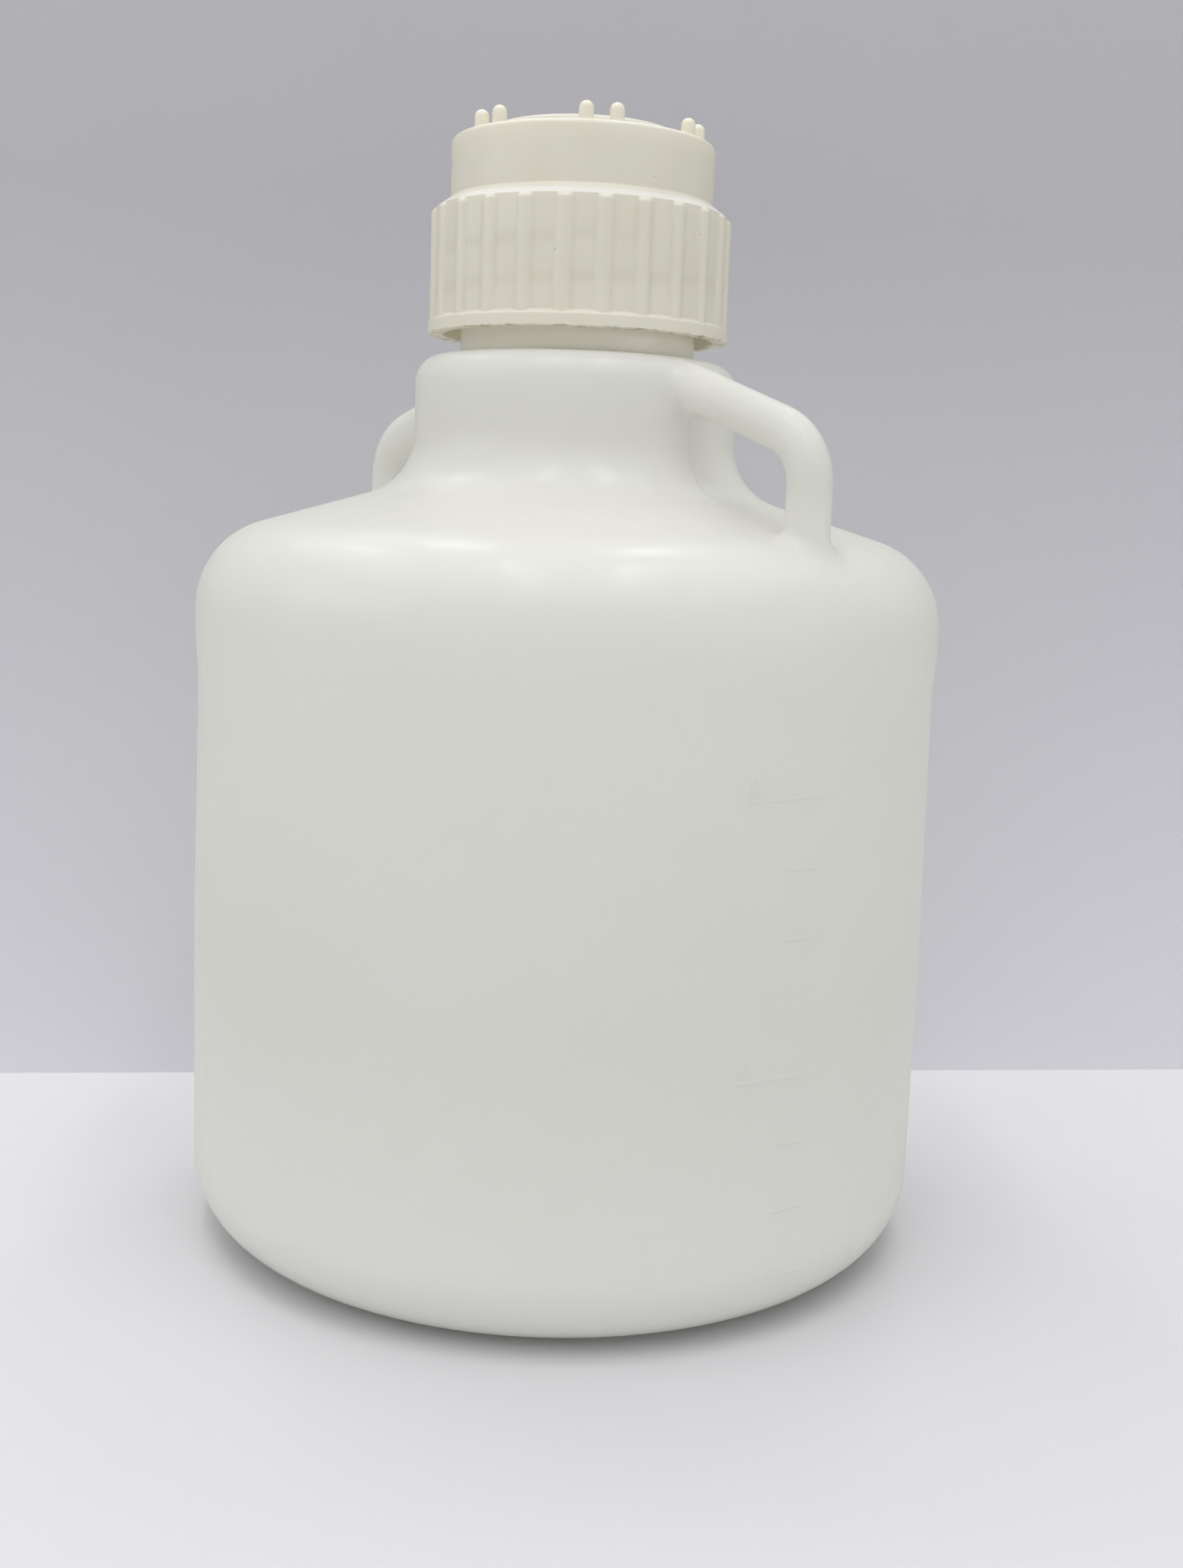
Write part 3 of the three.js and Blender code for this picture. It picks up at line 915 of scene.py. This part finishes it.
def start_material(name):
    """A new material, its node tree, its main shader and the object's own coordinates."""
    material = bpy.data.materials.new(name)
    material["slot"] = name
    material.use_nodes = True
    tree = material.node_tree
    return material, tree, tree.nodes["Principled BSDF"], add(tree, "TexCoord").outputs["Object"]


def stored(tree, name):
    """A share from 0 to 1 that was stored on the vertices."""
    return add(tree, "Attribute", attribute_name=name).outputs["Fac"]


def connect(tree, shader, sockets):
    """Feeds other nodes' outputs into the named sockets of a shader."""
    for name, value in sockets.items():
        tree.links.new(value, shader.inputs[name])


def let_light_through(tree, shader, colour, share, normal):
    """Lets a share of the light pass through a wall, as milky plastic does."""
    glow = add(tree, "BsdfTranslucent", {"Color": colour, "Normal": normal})
    mix = add(tree, "MixShader", {"Fac": share})
    tree.links.new(shader.outputs["BSDF"], mix.inputs[1])
    tree.links.new(glow.outputs["BSDF"], mix.inputs[2])
    tree.links.new(mix.outputs["Shader"], tree.nodes["Material Output"].inputs["Surface"])


def natural_plastic():
    """Milky blow-moulded polyethylene: satin, a little uneven, with dark specks; painted warm and bright on
    its neck for light bounced off the cream cap, painted whiter towards its foot for light bounced off the
    floor, and painted shade on its handles.
    """
    material, tree, shader, place = start_material("natural_plastic")
    cloud = noise(tree, place, size=0.07, detail=2)
    flow = noise(tree, stretched(tree, place, upright=0.12), size=0.009, detail=2)
    colour = tint(tree, spread(tree, cloud, 0.35, 0.65, 0, 1), BOTTLE_PALE, BOTTLE_DEEP)
    colour = tint(tree, spread(tree, flow, 0.4, 0.75, 0, 0.35), colour, BOTTLE_DEEP)
    height = add(tree, "SeparateXYZ", {"Vector": place}).outputs["Z"]
    on_neck = spread(tree, height, (COLLAR_TOP - 2) * MM, (COLLAR_TOP + 2) * MM, 0, 1)
    # Painted light: the neck is painted warmer and brighter than the body's plastic, standing in for light
    # bounced off the cream cap.
    colour = tint(tree, on_neck, colour, BOTTLE_NECK_BOUNCE)
    # Painted light: the foot is painted whiter, standing in for light bounced up off the floor; the same
    # share also lowers the light let through there.
    foot_share = spread(tree, height, *FOOT_FADE, 1, 0)
    colour = tint(tree, foot_share, colour, BOTTLE_FOOT_BOUNCE)
    on_handle = stored(tree, "handle")
    # Painted shade: the handles are painted darker than the body.
    colour = tint(tree, on_handle, colour, BOTTLE_HANDLE_SHADE)
    dirt = specks(tree, place, spacing=0.014, radius=SPECK_RADIUS, share=0.08)
    colour = tint(tree, times(tree, dirt, SPECK_STRENGTH), colour, SPECK)
    ripple = noise(tree, place, size=0.012)
    grain = noise(tree, place, size=0.0009, detail=2)
    scuffs = noise(tree, stretched(tree, place, upright=0.5), size=0.004, detail=3)
    rough = spread(tree, scuffs, 0.3, 0.7, *NATURAL_ROUGHNESS)
    normal = bumps(tree, (ripple, NATURAL_RIPPLE), (flow, NATURAL_FLOW), (grain, FINE_GRAIN))
    connect(tree, shader, {"Base Color": colour, "Roughness": rough, "Normal": normal})
    shader.inputs["IOR"].default_value = NATURAL_IOR
    share = times(tree, spread(tree, on_neck, 0, 1, BODY_CLEAR, NECK_CLEAR),
                  spread(tree, foot_share, 0, 1, 1, FOOT_CLEAR_FACTOR))
    # The light let through the handles is painted darker too.
    let_light_through(tree, shader, tint(tree, on_handle, BOTTLE_GLOW, BOTTLE_HANDLE_SHADE), share, normal)
    return material


def cream_plastic():
    """Injection-moulded polypropylene: cream, satin, with a painted highlight on its ledge, painted shade and
    dirt specks beside the ribs, painted shade on the sunk bands and a painted reflection on its crown.
    """
    material, tree, shader, place = start_material("cream_plastic")
    cloud = noise(tree, place, size=0.018, detail=2)
    colour = tint(tree, spread(tree, cloud, 0.35, 0.65, 0, 1), CAP_PALE, CAP_DEEP)
    corner = stored(tree, "corner")
    sink = stored(tree, "sink")
    streaks = noise(tree, stretched(tree, place, upright=0.3), size=0.006, detail=3)
    patches = spread(tree, streaks, 0.4, 0.7, 0, 0.22)
    # Painted shade: soft yellow-brown patches beside each rib's foot, where the corner between rib and skirt
    # lies in shade.
    colour = tint(tree, times(tree, corner, patches), colour, CAP_RIB_FOOT_SHADE)
    # Painted shade: darker bands on the skirt where it has sunk over the inner thread.
    colour = tint(tree, times(tree, sink, SINK_SHADE_STRENGTH), colour, CAP_SINK_SHADE)
    wipes = specks(tree, stretched(tree, place, upright=0.35), spacing=0.004, radius=0.0004, share=0.3)
    colour = tint(tree, times(tree, times(tree, wipes, corner), WIPE_STRENGTH), colour, SPECK)
    dirt = specks(tree, place, spacing=0.006, radius=SPECK_RADIUS, share=0.16)
    colour = tint(tree, times(tree, dirt, SPECK_STRENGTH), colour, SPECK)
    crown = stored(tree, "crown")
    # Painted reflection: the crown is painted darker and greyer, for the wall it reflects at a grazing angle.
    colour = tint(tree, crown, colour, CAP_CROWN_REFLECTION)
    ledge = stored(tree, "ledge")
    # Painted highlight: the ledge is painted whiter, for the overhead lamps it faces.
    colour = tint(tree, ledge, colour, CAP_LEDGE_HIGHLIGHT)
    rim = stored(tree, "rim")
    flecks = spread(tree, noise(tree, place, size=0.0035, detail=3), 0.48, 0.62, 0, 0.8)
    colour = tint(tree, times(tree, rim, flecks), colour, SPECK)
    grain = noise(tree, place, size=0.0011, detail=2)
    ripple = noise(tree, place, size=0.007)
    rough = spread(tree, noise(tree, place, size=0.005, detail=2), 0.3, 0.7, *CREAM_ROUGHNESS)
    normal = bumps(tree, (ripple, CREAM_RIPPLE), (grain, FINE_GRAIN))
    connect(tree, shader, {"Base Color": colour, "Roughness": rough, "Normal": normal})
    shader.inputs["IOR"].default_value = CREAM_IOR
    shader.inputs["Subsurface Weight"].default_value = 0.25
    shader.inputs["Subsurface Radius"].default_value = (1, 0.8, 0.5)
    shader.inputs["Subsurface Scale"].default_value = 0.0015
    let_light_through(tree, shader, CAP_GLOW, CAP_CLEAR, normal)
    return material


def soft_silicone():
    """Rubbery, slightly dusty sealing ring."""
    material, tree, shader, place = start_material("soft_silicone")
    dust = noise(tree, place, size=0.004, detail=3)
    colour = tint(tree, spread(tree, dust, 0.4, 0.7, 0, 1), SILICONE, SILICONE_DUST)
    normal = bumps(tree, (noise(tree, place, size=0.0012, detail=2), RING_GRAIN))
    connect(tree, shader, {"Base Color": colour, "Normal": normal})
    shader.inputs["Roughness"].default_value = RING_ROUGHNESS
    let_light_through(tree, shader, SILICONE, RING_CLEAR, normal)
    return material


# ---------------------------------------------------------------- stage

def stage_plane(name, width, length, colour):
    """A flat, slightly uneven plane that darkens with height, and its node tree and main shader."""
    mesh = bmesh.new()
    stretch = Matrix.Diagonal((width, length, 1, 1))
    bmesh.ops.create_grid(mesh, x_segments=1, y_segments=1, size=0.5, matrix=stretch)
    data = bpy.data.meshes.new(name)
    mesh.to_mesh(data)
    mesh.free()
    plane = bpy.data.objects.new(name, data)
    bpy.context.scene.collection.objects.link(plane)
    material, tree, shader, place = start_material(name)
    position = add(tree, "NewGeometry").outputs["Position"]
    height = add(tree, "SeparateXYZ", {"Vector": position}).outputs["Z"]
    shade = times(tree, spread(tree, noise(tree, place, size=0.25, detail=2), 0.3, 0.7, 0.985, 1.0),
                  spread(tree, height, 0, WALL_SHADED_HEIGHT, 1, WALL_TOP_SHADE))
    shaded = add(tree, "VectorMath", {0: colour[:3], "Scale": shade}, operation="SCALE")
    tree.links.new(shaded.outputs["Vector"], shader.inputs["Base Color"])
    shader.inputs["Roughness"].default_value = 0.8
    data.materials.append(material)
    return plane, tree, shader


def make_stage():
    """A pale floor, and a pale wall behind the bottle that only the camera sees, and only from its front."""
    stage_plane("floor", FLOOR_SIZE, FLOOR_SIZE, FLOOR)
    wall, tree, shader = stage_plane("wall", WALL_WIDTH, WALL_TOP, WALL_COLOUR)
    turn = Matrix.Rotation(CAMERA_AZIMUTH, 4, "Z") @ Matrix.Translation((0, WALL_BEHIND, 0))
    upright = Matrix.Rotation(WALL_TURN, 4, "Z") @ Matrix.Rotation(math.radians(90), 4, "X")
    wall.matrix_world = turn @ upright @ Matrix.Translation((0, WALL_TOP / 2, 0))
    backface = add(tree, "NewGeometry").outputs["Backfacing"]
    from_camera = add(tree, "LightPath").outputs["Is Camera Ray"]
    unseen = spread(tree, from_camera, 0, 1, 1, 0)
    hidden = add(tree, "Math", {0: backface, 1: unseen}, operation="MAXIMUM").outputs["Value"]
    mix = add(tree, "MixShader", {"Fac": hidden})
    tree.links.new(shader.outputs["BSDF"], mix.inputs[1])
    tree.links.new(add(tree, "BsdfTransparent").outputs["BSDF"], mix.inputs[2])
    tree.links.new(mix.outputs["Shader"], tree.nodes["Material Output"].inputs["Surface"])


def add_lamp(name, place, aim, size, power):
    """An area lamp of (width, length), placed and aimed in the camera's right, forward and up directions."""
    data = bpy.data.lights.new(name, "AREA")
    data.shape = "RECTANGLE"
    data.size, data.size_y = size
    data.energy = power
    lamp = bpy.data.objects.new(name, data)
    turn = Matrix.Rotation(CAMERA_AZIMUTH, 4, "Z")
    facing = (Vector(aim) - Vector(place)).to_track_quat("-Z", "Y").to_matrix().to_4x4()
    lamp.matrix_world = turn @ Matrix.Translation(place) @ facing
    bpy.context.scene.collection.objects.link(lamp)


def light_scene():
    """Ceiling lamps in front of the bottle and behind it, under a pale ceiling in an even, pale room."""
    for number, side in enumerate(FRONT_LAMPS):
        add_lamp(f"front_lamp_{number}", (side, FRONT_LAMP_DEPTH, LAMP_HEIGHT), (side, FRONT_LAMP_DEPTH, 0),
                 (LAMP_WIDTH, FRONT_LAMP_LENGTH), FRONT_LAMP_POWER)
    for number, side in enumerate(REAR_LAMPS):
        add_lamp(f"rear_lamp_{number}", (side, REAR_LAMP_DEPTH, LAMP_HEIGHT), (side, REAR_LAMP_DEPTH, 0),
                 (LAMP_WIDTH, REAR_LAMP_LENGTH), REAR_LAMP_POWER)
    add_lamp("ceiling", (0, 0, 2.3), (0, 0, 0), (4, 5), CEILING_POWER)
    middle = (0, 0, 0.2)
    add_lamp("fill_left", (-1.8, -0.6, 1.0), middle, (1.6, 0.9), LEFT_POWER)
    add_lamp("fill_right", (2, -1.1, 0.45), middle, (1.6, 0.9), RIGHT_POWER)
    add_lamp("fill_front", (0, -2.2, 0.3), (0, 0, 0.15), (4, 0.8), FRONT_POWER)
    world = bpy.data.worlds.new("room")
    world.use_nodes = True
    background = world.node_tree.nodes["Background"]
    background.inputs["Color"].default_value = ROOM
    background.inputs["Strength"].default_value = ROOM_STRENGTH
    bpy.context.scene.world = world
    bpy.context.scene.view_settings.view_transform = "Standard"


def make_camera():
    """The camera stands level with the bottle's shoulder and looks a little down at it."""
    level = math.cos(CAMERA_PITCH)
    forward = np.array((math.sin(CAMERA_YAW) * level, math.cos(CAMERA_YAW) * level, -math.sin(CAMERA_PITCH)))
    right = np.array((math.cos(CAMERA_YAW), -math.sin(CAMERA_YAW), 0))
    up = np.cross(right, forward)
    across = right * math.cos(CAMERA_ROLL) + up * math.sin(CAMERA_ROLL)
    upward = up * math.cos(CAMERA_ROLL) - right * math.sin(CAMERA_ROLL)
    pose = Matrix.Identity(4)
    for axis, direction in enumerate((across, upward, -forward)):
        for row in range(3):
            pose[row][axis] = direction[row]
    pose.translation = (0, -CAMERA_DISTANCE, CAMERA_HEIGHT)
    data = bpy.data.cameras.new("camera")
    data.lens = CAMERA_LENS
    data.sensor_width = CAMERA_SENSOR
    camera = bpy.data.objects.new("camera", data)
    camera.matrix_world = Matrix.Rotation(CAMERA_AZIMUTH, 4, "Z") @ pose
    bpy.context.scene.collection.objects.link(camera)
    bpy.context.scene.camera = camera


bottle_plastic = natural_plastic()
make_bottle(bottle_plastic)
make_volume_marks(bottle_plastic)
make_cap(cream_plastic())
make_sealing_ring(soft_silicone())
make_stage()
light_scene()
make_camera()
